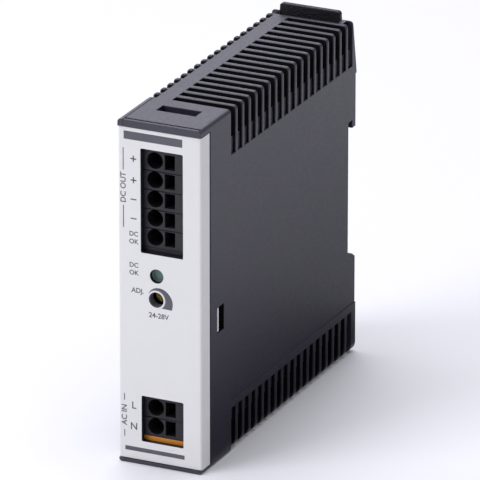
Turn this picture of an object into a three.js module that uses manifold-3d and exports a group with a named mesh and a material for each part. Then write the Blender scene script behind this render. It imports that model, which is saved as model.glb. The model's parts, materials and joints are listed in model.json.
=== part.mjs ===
// A slim single-phase power supply that snaps onto a 35 mm top-hat rail.
//
// Everything is built in an assembly frame, in millimetres: X from the left face to the right one,
// Y from the face of the front panel back to the rail, Z up from the underside. The exported group
// shifts that frame so that its origin is under the middle of the whole unit.

import * as THREE from "three";
import { mergeVertices } from "three/addons/utils/BufferGeometryUtils.js";
import Module from "manifold-3d";

const wasm = await Module();
wasm.setup();

// ---------------------------------------------------------------- driving dimensions

const WIDTH = 22.5;
const HEIGHT = 90;
const DEPTH = 91; // front panel's face to the rear edge

// Running and standing clearances.
const GAP = 0.3; // between pieces that lie against each other
const PARTING = 0.1; // between the tub and its side cover
const SLIDE_PLAY = 0.3; // round the latch slider

// Housing tub and side cover.
const WALL = 2; // right-hand wall
const COVER = 1.5; // left-hand cover
const ROOF = 1.9;
const FLOOR = 1.9;
const LIP = 0.3; // how far roof and floor stand in front of the panel
const LIP_FLOOR = 1; // thickness of the floor's front lip
const TOP_RADIUS = 1.5; // long edges of the roof
const FRONT_FOOT_RADIUS = 0.8; // long edges of the floor, in front of the vents
const REAR_FOOT_RADIUS = 2.5; // the same edges along the vents
const BACK_CORNER_RADIUS = 1.5;
const LABEL_DEPTH = 0.25; // sunk field for the label on the right wall
const LABEL_FRONT = 16.7;
const LABEL_BOTTOM = 13.5;
const LABEL_TOP_DROP = 14.5; // top of the sunk field below the roof
const ROOF_GROOVE_Y = 0.95; // shadow line behind the roof's front bar
const ROOF_GROOVE = 0.22;
const ROOF_WINDOW = { x0: 6.1, x1: 16.7, y0: 8.85, y1: 12.7, rib: 1.5, drop: 3.4 };

// Vents: one row of slots from the roof round into each side, and one row round the floor.
const VENT_FRONT = 17;
const VENT_PITCH = 3.816;
const VENT_WIDTH = 2.65;
const VENT_REAR_STRIP = 2.6; // plain strip behind the last vent
const VENT_TOP_LENGTH = 11.9; // down each side from the roof
const VENT_BOTTOM_LENGTH = 11.4; // up each side from the floor
const VENT_OPEN_LENGTH = 7.6; // the stretch of those that goes right through the wall
const VENT_BLIND_DEPTH = 1; // depth of the rest, on the right wall
const COVER_BLIND_DEPTH = 0.8; // and on the cover
const SPINE_X0 = 2.2; // solid strip between the two rows
const SPINE_X1 = 6.4;

// Rail foot.
const RAIL = 35;
const RAIL_PLAY = 0.1;
const RAIL_THICKNESS = 1;
const RAIL_BOTTOM = 28.2; // height of the rail's lower edge
const RAIL_POCKET = 4.3; // seat to the rear face
const HOOK_REACH = 2.1; // how far the fixed hook hangs down behind the rail
const HOOK_SLOT = 2.4; // room for the rail's edge in front of the hook
const HOOK_HEIGHT = 4.2; // solid above the hook's slot
const SEAT_WALL = 1.8;
const PARTITION = 1.4;
const BACK_LEAN = 2.3; // how far the top of the rear edge leans forward
const BACK_LEAN_HEIGHT = 14;

// Latch slider and its spring.
const STEM_WIDTH = 8.5;
const STEM = 1.7;
const TAB_X0 = 2.5;
const TAB_RIGHT = 3.3; // right end of the tab to the right face
const TAB_HEIGHT = 2.2; // above the roof
const TAB_PLATE = 10; // height of the wide plate
const TAB_BEHIND_RIB = 1.9; // slot between the last rib and the tab
const NOSE_LIFT = 1.4; // nose above the rail's lower edge
const NOSE = 1.5;
const NOSE_PLAY = 0.2; // behind the rail
const NOSE_BLOCK_DROP = 1.2; // top of the block that carries the nose, below the rail
const LATCH_TRAVEL = 2;
const NOSE_BLOCK = 6.3;
const SPRING_RADIUS = 1.6;
const SPRING_WIRE = 0.5;
const SPRING_FOOT = 4;
const SPRING_TURNS = 7;

// Front panel.
const PANEL = 1.5;
const PANEL_WRAP = 5.03; // depth of its side wings
const PANEL_EDGE_RADIUS = 0.6;
const HOOK_WINDOW = { y0: 8.95, y1: 12.9, height: 6.75, belowTrimmer: 3.3 };
const SNAP_ARM = 1.2;
const TONGUE = 0.9;

// Terminals: a round wire entry with a square release opening beside it.
const PITCH = 5;
const OUTPUTS = 5;
const INPUTS = 2;
const WIRE_X = 9.15;
const WIRE_RADIUS = 2.15;
const RELEASE_X0 = 11.8;
const RELEASE_X1 = 14.5;
const RELEASE_HEIGHT = 3.8;
const TERMINAL_X1 = 17.9;
const TERMINAL_DEPTH = 15.2;
const BELOW_WIRE = 2.7; // module's lower face below its wire entry
const TERMINAL_CAP = 1.1; // extra height of the top module
const END_PLATE = 1.4;
const OUTPUT_TOP_WIRE_DROP = 10.3; // top output's wire entry below the roof
const INPUT_BOTTOM_WIRE_Z = 9.9;
const SEAM = 0.1;

// Indicator and output-voltage trimmer.
const LED_X = 10.35;
const LED_BELOW_WINDOW = 5.6;
const LED_HOLE_RADIUS = 1.85;
const TRIMMER_X = 10.25;
const TRIMMER_BELOW_LED = 6.15;
const TRIMMER_TUBE_RADIUS = 2.4;
const TRIMMER_BORE_RADIUS = 2;
const TRIMMER_TUBE_END = 2.4;
const ROTOR_RADIUS = 1.6;
const ROTOR_FACE = 3.2;
const TRIMMER_BODY = 6.5;

// Circuit board.
const BOARD_X = 3.6; // solder side
const BOARD = 1.6;
const BOARD_FRONT = 8;
const BOARD_EDGE = 1.1; // from roof and floor
const LEAD = 0.6;
const LEAD_PLAY = 0.15;
const LEAD_STUB = 0.9; // beyond the solder side

// ---------------------------------------------------------------- derived places

const partsX = BOARD_X + BOARD + GAP; // where components stand
const roomX = WIDTH - WALL - GAP;
const roofZ = HEIGHT - ROOF;
const seatY = DEPTH - RAIL_POCKET;
const channelY1 = seatY - SEAT_WALL;
const channelY0 = channelY1 - STEM - 2 * SLIDE_PLAY;
const partitionY = channelY0 - PARTITION;
const notchZ = RAIL_BOTTOM + RAIL + RAIL_PLAY;
const hookTopZ = notchZ + HOOK_HEIGHT;
const tabX = [TAB_X0, WIDTH - TAB_RIGHT];
const stemX = [(WIDTH - STEM_WIDTH) / 2, (WIDTH + STEM_WIDTH) / 2];
const panelZ = [LIP_FLOOR + PARTING, roofZ - PARTING];
const boardZ = [FLOOR + BOARD_EDGE, roofZ - BOARD_EDGE];
const boardY1 = partitionY - BOARD_EDGE;
const terminalY = [PANEL + GAP, PANEL + GAP + TERMINAL_DEPTH];
const outputZ = range(OUTPUTS).map((i) => HEIGHT - OUTPUT_TOP_WIRE_DROP - i * PITCH);
const inputZ = range(INPUTS).map((i) => INPUT_BOTTOM_WIRE_Z + (INPUTS - 1 - i) * PITCH);
const outputWindow = terminalWindow(outputZ);
const inputWindow = terminalWindow(inputZ);
const ledZ = outputWindow.z0 - LED_BELOW_WINDOW;
const trimmerZ = ledZ - TRIMMER_BELOW_LED;
const hookWindowTop = trimmerZ - HOOK_WINDOW.belowTrimmer;
const hookWindowZ = [hookWindowTop - HOOK_WINDOW.height, hookWindowTop];
const ventRun = DEPTH - VENT_REAR_STRIP - VENT_WIDTH - VENT_FRONT;
const ventY = range(Math.floor(ventRun / VENT_PITCH) + 1).map((i) => VENT_FRONT + i * VENT_PITCH);
const lastVentY = ventY[ventY.length - 1];
const tabY = [lastVentY + TAB_BEHIND_RIB, lastVentY + TAB_BEHIND_RIB + STEM];
const noseY = seatY + RAIL_THICKNESS + NOSE_PLAY;
const blockTopZ = RAIL_BOTTOM - NOSE_BLOCK_DROP;
const pocketZ = panelZ.map((z, i) => z + [-PARTING, PARTING][i]);
const tongueZ = [panelZ[0] + 1.2, panelZ[1] - 0.6];
const wallFrontY = PANEL_WRAP + GAP;

function range(count) {
  return Array.from({ length: count }, (_, i) => i);
}

// The panel's window over one block of terminals.
function terminalWindow(wires) {
  const lowest = wires[wires.length - 1] - BELOW_WIRE;
  return {
    x0: partsX + 0.6,
    x1: TERMINAL_X1 - 0.4,
    z0: lowest - END_PLATE + GAP,
    z1: wires[0] - BELOW_WIRE + PITCH + TERMINAL_CAP - SEAM,
  };
}

// ---------------------------------------------------------------- solid helpers

const AXES = {
  x: new THREE.Vector3(1, 0, 0),
  y: new THREE.Vector3(0, 1, 0),
  z: new THREE.Vector3(0, 0, 1),
};

function solid(geometry) {
  const bare = geometry.index ? geometry.toNonIndexed() : geometry.clone();
  bare.deleteAttribute("normal");
  bare.deleteAttribute("uv");
  const merged = mergeVertices(bare, 1e-4);
  return new wasm.Manifold(
    new wasm.Mesh({
      numProp: 3,
      vertProperties: merged.attributes.position.array,
      triVerts: new Uint32Array(merged.index.array),
    }),
  );
}

function block(x, y, z) {
  const box = new THREE.BoxGeometry(x[1] - x[0], y[1] - y[0], z[1] - z[0]);
  box.translate((x[0] + x[1]) / 2, (y[0] + y[1]) / 2, (z[0] + z[1]) / 2);
  return solid(box);
}

// An outline in the plane of two axes, drawn out along their cross product.
function prism(outline, across, up, from, to) {
  const shape = outline instanceof THREE.Shape ? outline : shapeOf(outline);
  const made = new THREE.ExtrudeGeometry(shape, {
    depth: to - from,
    bevelEnabled: false,
    curveSegments: 3,
  });
  const along = AXES[across].clone().cross(AXES[up]);
  made.translate(0, 0, from);
  made.applyMatrix4(new THREE.Matrix4().makeBasis(AXES[across], AXES[up], along));
  return solid(made);
}

function shapeOf(points) {
  return new THREE.Shape(points.map(([a, b]) => new THREE.Vector2(a, b)));
}

// A rectangle with its own radius for the two lower and the two upper corners.
function roundedRectangle(x, z, lower, upper) {
  const s = new THREE.Shape();
  s.moveTo(x[0] + lower, z[0]);
  s.lineTo(x[1] - lower, z[0]);
  s.absarc(x[1] - lower, z[0] + lower, lower, -Math.PI / 2, 0, false);
  s.lineTo(x[1], z[1] - upper);
  s.absarc(x[1] - upper, z[1] - upper, upper, 0, Math.PI / 2, false);
  s.lineTo(x[0] + upper, z[1]);
  s.absarc(x[0] + upper, z[1] - upper, upper, Math.PI / 2, Math.PI, false);
  s.lineTo(x[0], z[0] + lower);
  s.absarc(x[0] + lower, z[0] + lower, lower, Math.PI, Math.PI * 1.5, false);
  return s;
}

// A section in X and Z, drawn along Y. The outline's mirror image keeps Y pointing back.
function frontPrism(outline, y) {
  return prism(outline, "x", "z", -y[1], -y[0]);
}

// An outline in Y and Z, drawn along X.
function sidePrism(outline, x) {
  return prism(outline, "y", "z", x[0], x[1]);
}

// A round bar: centre holds its two fixed coordinates, in X, Y, Z order.
function rod(axis, radius, span, centre, sides = 16) {
  const bar = new THREE.CylinderGeometry(radius, radius, span[1] - span[0], sides);
  bar.translate(0, (span[0] + span[1]) / 2, 0);
  return placeAlong(bar, axis, centre);
}

// A turned shape: profile points are [radius, place along the axis].
function turned(axis, profile, centre, sides = 16) {
  const lathe = new THREE.LatheGeometry(
    profile.map(([r, t]) => new THREE.Vector2(r, t)),
    sides,
  );
  return placeAlong(lathe, axis, centre);
}

function placeAlong(geometry, axis, [a, b]) {
  if (axis === "x") {
    geometry.rotateZ(-Math.PI / 2);
    geometry.translate(0, a, b);
  }
  if (axis === "y") {
    geometry.translate(a, 0, b);
  }
  if (axis === "z") {
    geometry.rotateX(Math.PI / 2);
    geometry.translate(a, b, 0);
  }
  return solid(geometry);
}

function joined(solids) {
  return solids.reduce((a, b) => a.add(b));
}

function cut(from, solids) {
  return solids.reduce((a, b) => a.subtract(b), from);
}

// A strip of sheet metal: the centre line's points, thickened to both sides.
function strip(points, thickness) {
  const half = thickness / 2;
  const normals = points.map((p, i) => {
    const before = points[Math.max(i - 1, 0)];
    const after = points[Math.min(i + 1, points.length - 1)];
    const along = new THREE.Vector2(after[0] - before[0], after[1] - before[1]).normalize();
    return [-along.y * half, along.x * half];
  });
  const left = points.map((p, i) => [p[0] + normals[i][0], p[1] + normals[i][1]]);
  const right = points.map((p, i) => [p[0] - normals[i][0], p[1] - normals[i][1]]);
  return shapeOf([...right, ...left.reverse()]);
}

// ---------------------------------------------------------------- materials

function finish(colour, roughness, metalness = 0) {
  return new THREE.MeshStandardMaterial({ color: colour, roughness, metalness });
}

const FINISH = {
  housing: finish(0x6b6a72, 0.75),
  cover: finish(0x68676f, 0.75),
  panel: finish(0xe1e1e8, 0.5),
  latch: finish(0x1f1e22, 0.85),
  spring: finish(0xb9bbbe, 0.3, 0.9),
  terminal: finish(0x38383f, 0.6),
  terminalPlate: finish(0x2f2f35, 0.6),
  orangePlate: finish(0xd68f32, 0.5),
  clamp: finish(0xc6c8ca, 0.28, 0.9),
  contact: finish(0xb8a26a, 0.32, 0.9),
  board: finish(0x2f5a3a, 0.55),
  lightPipe: finish(0x5a7871, 0.3),
  led: finish(0x7fae6c, 0.3),
  trimmer: finish(0x2a4a86, 0.5),
  rotor: finish(0xb39a4a, 0.35, 0.8),
  fuse: finish(0x3a2a22, 0.6),
  varistor: finish(0x2b5fa0, 0.45),
  thermistor: finish(0x2b3a2f, 0.6),
  filmCapacitor: finish(0xd9b83c, 0.45),
  ferrite: finish(0x3b3b3d, 0.7),
  copper: finish(0xa65c2e, 0.35, 0.7),
  tape: finish(0xd0b23a, 0.5),
  bobbin: finish(0x1d1d1f, 0.6),
  semiconductor: finish(0x1b1b1d, 0.5),
  heatSink: finish(0xa9abad, 0.4, 0.85),
  capacitorSleeve: finish(0x23262e, 0.45),
  ceramicDisc: finish(0x3f78b8, 0.5),
  optocoupler: finish(0xe2e0d6, 0.5),
};

// ---------------------------------------------------------------- housing

// Side view of the whole case, with the rail's pocket and fixed hook in its rear edge.
function sideOutline() {
  const s = new THREE.Shape();
  const hookY = seatY + HOOK_SLOT;
  s.moveTo(-LIP, 0);
  s.lineTo(DEPTH - BACK_CORNER_RADIUS, 0);
  s.absarc(DEPTH - BACK_CORNER_RADIUS, BACK_CORNER_RADIUS, BACK_CORNER_RADIUS, -Math.PI / 2, 0, false);
  s.lineTo(DEPTH, RAIL_BOTTOM - 2.2);
  s.lineTo(seatY + 2.7, RAIL_BOTTOM - 1.1);
  s.lineTo(seatY, RAIL_BOTTOM);
  s.lineTo(seatY, notchZ);
  s.lineTo(hookY, notchZ);
  s.lineTo(hookY, notchZ - HOOK_REACH);
  s.lineTo(DEPTH, notchZ - HOOK_REACH);
  s.lineTo(DEPTH, HEIGHT - BACK_LEAN_HEIGHT);
  s.lineTo(DEPTH - BACK_LEAN, HEIGHT);
  s.lineTo(-LIP, HEIGHT);
  return s;
}

// The case as one solid block: side view and front section in one.
function envelope() {
  const front = roundedRectangle([0, WIDTH], [0, HEIGHT], FRONT_FOOT_RADIUS, TOP_RADIUS);
  const rear = roundedRectangle([0, WIDTH], [0, HEIGHT], REAR_FOOT_RADIUS, TOP_RADIUS);
  const section = frontPrism(front, [-LIP, VENT_FRONT]).add(frontPrism(rear, [VENT_FRONT, DEPTH]));
  return sidePrism(sideOutline(), [0, WIDTH]).intersect(section);
}

// The slots of one vent, front edge at y. wallX and blindX are the inner faces of its open and
// blind stretches, outX is outside the wall, and spineX is where the slot in roof and floor ends.
function ventCut(y, { wallX, blindX, outX, spineX }, cutsRoof) {
  const across = [y, y + VENT_WIDTH];
  const side = (a, b) => [Math.min(a, b), Math.max(a, b)];
  const roofX = cutsRoof ? spineX : wallX;
  const topZ = [HEIGHT - VENT_TOP_LENGTH, HEIGHT + 1];
  const bottomZ = [-1, VENT_BOTTOM_LENGTH];
  return [
    block(side(roofX, outX), across, [roofZ - 0.4, HEIGHT + 1]),
    block(side(wallX, outX), across, [HEIGHT - VENT_OPEN_LENGTH, HEIGHT + 1]),
    block(side(blindX, outX), across, topZ),
    block(side(spineX, outX), across, [-1, FLOOR + 0.4]),
    block(side(wallX, outX), across, [-1, VENT_OPEN_LENGTH]),
    block(side(blindX, outX), across, bottomZ),
  ];
}

function rightVents() {
  const wall = {
    wallX: WIDTH - WALL - 0.1,
    blindX: WIDTH - VENT_BLIND_DEPTH,
    outX: WIDTH + 1,
    spineX: SPINE_X1,
  };
  return ventY.flatMap((y) => {
    const last = y === lastVentY;
    return ventCut(y, last ? { ...wall, wallX: WIDTH - 1.6 } : wall, !last);
  });
}

function leftVents() {
  const wall = { wallX: SPINE_X0, blindX: COVER_BLIND_DEPTH, outX: -1, spineX: SPINE_X0 };
  return ventY.flatMap((y) => ventCut(y, wall, true));
}

// Room for the electronics, open to the left, and for the panel in front of it.
function interiorCuts() {
  return [
    block([-1, WIDTH - WALL], [0, partitionY], [FLOOR, roofZ]),
    block([-1, WIDTH + 1], [-LIP - 1, wallFrontY], pocketZ),
  ];
}

// The channel of the latch slider, its pocket behind the rail step and the open back above the hook.
function latchCuts() {
  const x = [stemX[0] - SLIDE_PLAY, stemX[1] + SLIDE_PLAY];
  const noseRoom = [noseY - SLIDE_PLAY, noseY + NOSE + SLIDE_PLAY];
  const stopZ = blockTopZ + SLIDE_PLAY;
  return [
    block(x, [channelY0, channelY1], [SPRING_FOOT, HEIGHT - 4]),
    block(x, [channelY1 - 0.1, noseRoom[1]], [SPRING_FOOT, stopZ]),
    block(x, noseRoom, [stopZ - 0.1, RAIL_BOTTOM + 3]),
    block(x, [channelY1 - 0.1, DEPTH + 1], [hookTopZ, HEIGHT - 1]),
    block([tabX[0] - SLIDE_PLAY, tabX[1] + SLIDE_PLAY], [lastVentY, DEPTH + 1], [hookTopZ, HEIGHT + 1]),
  ];
}

// Hollows on both sides of the latch pocket, open to the electronics.
function reliefCuts() {
  const y = [partitionY - 1, seatY + 2.4];
  const z = [FLOOR, RAIL_BOTTOM - 2.4];
  const web = SLIDE_PLAY + 0.8;
  return [
    block([COVER + 0.9, stemX[0] - web], y, z),
    block([stemX[1] + web, WIDTH - WALL], y, z),
  ];
}

function labelField(x) {
  return block(x, [LABEL_FRONT, DEPTH + 1], [LABEL_BOTTOM, HEIGHT - LABEL_TOP_DROP]);
}

function roofWindowCut() {
  const w = ROOF_WINDOW;
  return block([w.x0, w.x1], [w.y0, w.y1], [roofZ - 1, HEIGHT + 1]);
}

// Rib under the rear edge of the roof's window.
function roofWindowRib() {
  const w = ROOF_WINDOW;
  return block([w.x0 - 0.6, w.x1 + 0.6], [w.y1, w.y1 + w.rib], [roofZ - w.drop, roofZ + 0.2]);
}

// Two rails that the component side of the board leans on.
function boardRails() {
  const x = [partsX, SPINE_X1 - 0.05];
  const y = [VENT_FRONT + 2, boardY1];
  const reach = BOARD_EDGE + 0.9;
  return [block(x, y, [roofZ - reach, roofZ + 0.2]), block(x, y, [FLOOR - 0.2, FLOOR + reach])];
}

function hookWindow(x) {
  return block(x, [HOOK_WINDOW.y0, HOOK_WINDOW.y1], hookWindowZ);
}

// Thin web of the wall that runs inside the panel's wing.
function tongue(x) {
  return block(x, [PANEL + 2 * GAP, PANEL_WRAP + 3], tongueZ);
}

function housingBody() {
  const wingX = WIDTH - PANEL;
  const tongueX = [wingX - GAP - TONGUE, wingX - GAP];
  const tub = cut(envelope(), [
    block([-1, COVER + PARTING], [-LIP, DEPTH + 1], [-1, HEIGHT + 1]),
    ...interiorCuts(),
    ...latchCuts(),
    ...reliefCuts(),
  ]);
  const groove = [ROOF_GROOVE_Y, ROOF_GROOVE_Y + ROOF_GROOVE];
  const built = joined([tub, tongue(tongueX), roofWindowRib(), ...boardRails()]);
  return cut(built, [
    ...rightVents(),
    ...leftVents(),
    labelField([WIDTH - LABEL_DEPTH, WIDTH + 1]),
    roofWindowCut(),
    hookWindow([wingX - GAP - TONGUE - 0.2, WIDTH + 1]),
    block([1.2, WIDTH - 0.35], groove, [HEIGHT - 0.5, HEIGHT + 1]),
  ]);
}

// The cover carries the left row of vents, the posts behind the board and a tongue for the panel's wing.
function sideCover() {
  const plate = cut(envelope(), [
    block([COVER, WIDTH + 1], [-LIP - 1, DEPTH + 1], [-1, HEIGHT + 1]),
    block([-1, WIDTH + 1], [-LIP - 1, wallFrontY], pocketZ),
  ]);
  const tongueX = [PANEL + GAP, PANEL + GAP + TONGUE];
  const rib = block([COVER - 0.5, tongueX[1]], [wallFrontY, PANEL_WRAP + 3], tongueZ);
  const postY = [BOARD_FRONT + 14, boardY1 - 8];
  const postZ = [boardZ[0] + 1.6, boardZ[1] - 1.6];
  const postX = [COVER - 0.5, BOARD_X - GAP];
  const posts = postY.flatMap((y) => postZ.map((z) => rod("x", 1.2, postX, [y, z], 12)));
  return cut(joined([plate, rib, tongue(tongueX), ...posts]), [
    ...leftVents(),
    labelField([-1, LABEL_DEPTH]),
    hookWindow([-1, PANEL + GAP + TONGUE + 0.2]),
  ]);
}

// ---------------------------------------------------------------- front panel

// Section of one snap arm in X and Y, for the right side: the barb drops into the wall's window.
function snapArm() {
  const arm = WIDTH - PANEL - 2 * GAP - TONGUE;
  const barbY = HOOK_WINDOW.y0 + 0.15;
  const tipY = HOOK_WINDOW.y1 - 0.4;
  return prism(
    [
      [arm - SNAP_ARM, PANEL - 0.2],
      [arm, PANEL - 0.2],
      [arm, barbY],
      [WIDTH - LABEL_DEPTH, barbY],
      [WIDTH - LABEL_DEPTH, barbY + 1.1],
      [arm, tipY],
      [arm - SNAP_ARM, tipY],
    ],
    "x",
    "y",
    hookWindowZ[0] + GAP,
    hookWindowZ[1] - GAP,
  );
}

function frontPanel() {
  const z = panelZ;
  const outer = prism(panelSection(), "x", "y", z[0], z[1]);
  const hollow = block([PANEL, WIDTH - PANEL], [PANEL, PANEL_WRAP + 1], [z[0] - 1, z[1] + 1]);
  const arm = snapArm();
  const leftArm = arm.mirror([1, 0, 0]).translate([WIDTH, 0, 0]);
  const tube = rod("y", TRIMMER_TUBE_RADIUS, [-0.12, TRIMMER_TUBE_END], [TRIMMER_X, trimmerZ], 24);
  const windows = [outputWindow, inputWindow].map((w) => block([w.x0, w.x1], [-1, PANEL + 1], [w.z0, w.z1]));
  return cut(joined([outer.subtract(hollow), arm, leftArm, tube]), [
    ...windows,
    rod("y", LED_HOLE_RADIUS, [-1, PANEL + 1], [LED_X, ledZ], 20),
    rod("y", TRIMMER_BORE_RADIUS, [-1, TRIMMER_TUBE_END + 1], [TRIMMER_X, trimmerZ], 24),
  ]);
}

// Plan view of the panel's outside, with its two front edges rounded.
function panelSection() {
  const r = PANEL_EDGE_RADIUS;
  const s = new THREE.Shape();
  s.moveTo(r, 0);
  s.lineTo(WIDTH - r, 0);
  s.absarc(WIDTH - r, r, r, -Math.PI / 2, 0, false);
  s.lineTo(WIDTH, PANEL_WRAP);
  s.lineTo(0, PANEL_WRAP);
  s.lineTo(0, r);
  s.absarc(r, r, r, Math.PI, Math.PI * 1.5, false);
  return s;
}

// ---------------------------------------------------------------- latch

// Side view of the slider: nose behind the rail at the foot, stem in its channel, tab above the roof.
function latchSlider() {
  const stemY = [channelY0 + SLIDE_PLAY, channelY1 - SLIDE_PLAY];
  const blockBottom = blockTopZ - NOSE_BLOCK;
  const jogZ = hookTopZ + LATCH_TRAVEL + 1.4;
  const rise = tabY[0] - stemY[0] + 1.2;
  const topZ = HEIGHT + TAB_HEIGHT;
  const side = [
    [stemY[0], blockBottom],
    [noseY + NOSE, blockBottom],
    [noseY + NOSE, RAIL_BOTTOM + NOSE_LIFT - 0.7],
    [noseY, RAIL_BOTTOM + NOSE_LIFT],
    [noseY, blockTopZ],
    [stemY[1], blockTopZ],
    [stemY[1], jogZ],
    [tabY[1], jogZ + rise],
    [tabY[1], topZ],
    [tabY[0], topZ],
    [tabY[0], jogZ + rise + 1],
    [stemY[0], jogZ + 1],
  ];
  const tab = block(tabX, tabY, [topZ - TAB_PLATE, topZ]);
  return sidePrism(side, stemX).add(tab);
}

// The coil that lifts the slider again, standing in its pocket under the nose block.
function latchSpring() {
  const foot = SPRING_FOOT + GAP + SPRING_WIRE / 2;
  const head = blockTopZ - NOSE_BLOCK - GAP - SPRING_WIRE / 2;
  const centreY = (channelY1 + noseY + NOSE) / 2;
  const steps = SPRING_TURNS * 10;
  const points = range(steps + 1).map((i) => {
    const turn = (i / steps) * SPRING_TURNS * Math.PI * 2;
    const x = WIDTH / 2 + SPRING_RADIUS * Math.cos(turn);
    const y = centreY + SPRING_RADIUS * Math.sin(turn);
    return new THREE.Vector3(x, y, foot + ((head - foot) * i) / steps);
  });
  const wire = shapeOf(
    range(6).map((i) => {
      const corner = (i * Math.PI) / 3;
      return [(SPRING_WIRE / 2) * Math.cos(corner), (SPRING_WIRE / 2) * Math.sin(corner)];
    }),
  );
  return solid(
    new THREE.ExtrudeGeometry(wire, {
      steps,
      bevelEnabled: false,
      extrudePath: new THREE.CatmullRomCurve3(points),
    }),
  );
}

// ---------------------------------------------------------------- terminals

// The moulded body of one terminal, its wire entry at height z.
function terminalBody(z, isTop) {
  const bottom = z - BELOW_WIRE;
  const top = bottom + PITCH - SEAM + (isTop ? TERMINAL_CAP : 0);
  const chamberZ = [z - 1.9, z + 1.75];
  const half = RELEASE_HEIGHT / 2;
  return cut(block([partsX, TERMINAL_X1], terminalY, [bottom, top]), [
    rod("y", WIRE_RADIUS, [0, terminalY[0] + 9], [WIRE_X, z], 20),
    block([RELEASE_X0, RELEASE_X1], [0, terminalY[0] + 9], [z - half, z + half]),
    block([partsX + 1.1, TERMINAL_X1 - 1.6], [terminalY[0] + 8, terminalY[1] + 1], chamberZ),
    block([partsX - 1, partsX + 1.3], contactPinY().map((y, i) => y + [-GAP, GAP][i]), [z - 0.7, z + 0.7]),
  ]);
}

function contactPinY() {
  const y = terminalY[0] + 10.6;
  return [y, y + 0.8];
}

// Contact bar at the foot of the terminal's chamber, with a pin down through the board.
function terminalContact(z) {
  const x0 = partsX + 1.1 + GAP;
  const bar = block([x0, x0 + 0.6], [terminalY[0] + 8.4, terminalY[1] - 0.4], [z - 1.5, z + 1.4]);
  const pin = block([BOARD_X - LEAD_STUB, x0 + 0.3], contactPinY(), [z - 0.4, z + 0.4]);
  return bar.add(pin);
}

// Clamp spring: a strip folded back on itself, whose leaf presses the wire onto the contact bar.
function clampSpring(z) {
  const x1 = TERMINAL_X1 - 1.6 - GAP - 0.2;
  const barX = partsX + 1.1 + GAP + 0.6;
  const frontY = terminalY[0] + 8.6;
  const rearY = terminalY[1] - 0.6;
  const centreLine = [
    [barX + 2.4, rearY],
    [x1 - 0.6, rearY],
    [x1, rearY - 0.6],
    [x1, frontY + 2],
    [x1 - 0.7, frontY + 0.7],
    [x1 - 2, frontY + 0.8],
    [barX + 0.6, rearY - 1.6],
  ];
  return prism(strip(centreLine, 0.35), "x", "y", z - 1.4, z + 1.3);
}

function endPlate(wires) {
  const top = wires[wires.length - 1] - BELOW_WIRE - SEAM;
  return block([partsX, TERMINAL_X1], terminalY, [top - END_PLATE + SEAM, top]);
}

// ---------------------------------------------------------------- electronics

const boardHoles = [];

// Square leads from the solder side up to x1, each with its hole in the board.
function leads(places, x1, size = LEAD) {
  const half = size / 2;
  return places.map(([y, z]) => {
    const hole = half + LEAD_PLAY;
    boardHoles.push([y - hole, y + hole, z - hole, z + hole]);
    return block([BOARD_X - LEAD_STUB, x1], [y - half, y + half], [z - half, z + half]);
  });
}

// A round can standing on the board, with a crimp near its foot.
function radialCan(y, z, radius, height) {
  const x = [partsX, partsX + height];
  const body = turned(
    "x",
    [
      [0, x[0]],
      [radius, x[0]],
      [radius, x[0] + 1.1],
      [radius - 0.4, x[0] + 1.6],
      [radius, x[0] + 2.1],
      [radius, x[1] - 0.5],
      [radius - 0.5, x[1]],
      [0, x[1]],
    ],
    [y, z],
  );
  return joined([body, ...leads([[y - 2, z], [y + 2, z]], x[0] + 1)]);
}

// A coated disc standing on edge, its flat faces up and down.
function disc(y, z, radius, thickness) {
  const x = partsX + 0.6 + radius;
  const half = thickness / 2;
  const body = turned(
    "z",
    [
      [0, z - half],
      [radius - 0.9, z - half],
      [radius, z - half + 0.9],
      [radius, z + half - 0.9],
      [radius - 0.9, z + half],
      [0, z + half],
    ],
    [x, y],
  );
  return joined([body, ...leads([[y - 2.5, z], [y + 2.5, z]], x)]);
}

// A flat package lying on the board with a row of bent leads along both long sides.
function dualRowPackage(y, z, length, pinsPerSide) {
  const x = [partsX + GAP, partsX + GAP + 3.2];
  const body = block(x, [y - length / 2, y + length / 2], [z - 2.3, z + 2.3]);
  const places = range(pinsPerSide).map((i) => y + (i - (pinsPerSide - 1) / 2) * 2.54);
  const rows = [-1, 1].flatMap((side) => {
    const shoulderZ = [z + side * 2.2, z + side * 3.6].sort((a, b) => a - b);
    const shoulders = places.map((p) => block([x[0] + 1.2, x[0] + 1.6], [p - 0.3, p + 0.3], shoulderZ));
    const spots = places.map((p) => [p, z + side * 3.3]);
    return [...shoulders, ...leads(spots, x[0] + 1.4)];
  });
  return joined([body, ...rows]);
}

// A power package standing on three leads, its metal tab towards the heat sink behind it.
function standingPackage(y, z) {
  const x = [partsX + 2.6, Math.min(partsX + 14, roomX)];
  const body = block([x[0], x[0] + 8], [y - 2.2, y + 0.6], [z - 4.8, z + 4.8]);
  const tab = cut(block([x[0] + 1, x[1]], [y - 0.6, y + 0.6], [z - 4.8, z + 4.8]), [
    rod("y", 1.7, [y - 3, y + 3], [x[1] - 2.6, z], 16),
  ]);
  const spots = [-2.54, 0, 2.54].map((offset) => [y - 0.8, z + offset]);
  return joined([body, tab, ...leads(spots, x[0] + 0.5)]);
}

// A folded sheet-metal heat sink: one plate across the room with two short feet.
function heatSink(y, z, height) {
  const plate = block([partsX + 0.4, roomX - 0.4], [y, y + 1.6], [z - height / 2, z + height / 2]);
  const flange = block([roomX - 2, roomX - 0.4], [y, y + 4.2], [z - height / 2, z + height / 2]);
  const spots = [-1, 1].map((side) => [y + 0.8, z + side * (height / 2 - 1.5)]);
  return joined([plate, flange, ...leads(spots, partsX + 1)]);
}

function fuse(y, z) {
  const x = [partsX, partsX + 7.8];
  const body = turned("x", [[0, x[0]], [4.2, x[0]], [4.2, x[1] - 0.8], [3.4, x[1]], [0, x[1]]], [y, z]);
  return joined([body, ...leads([[y - 2.54, z], [y + 2.54, z]], x[0] + 1)]);
}

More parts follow.
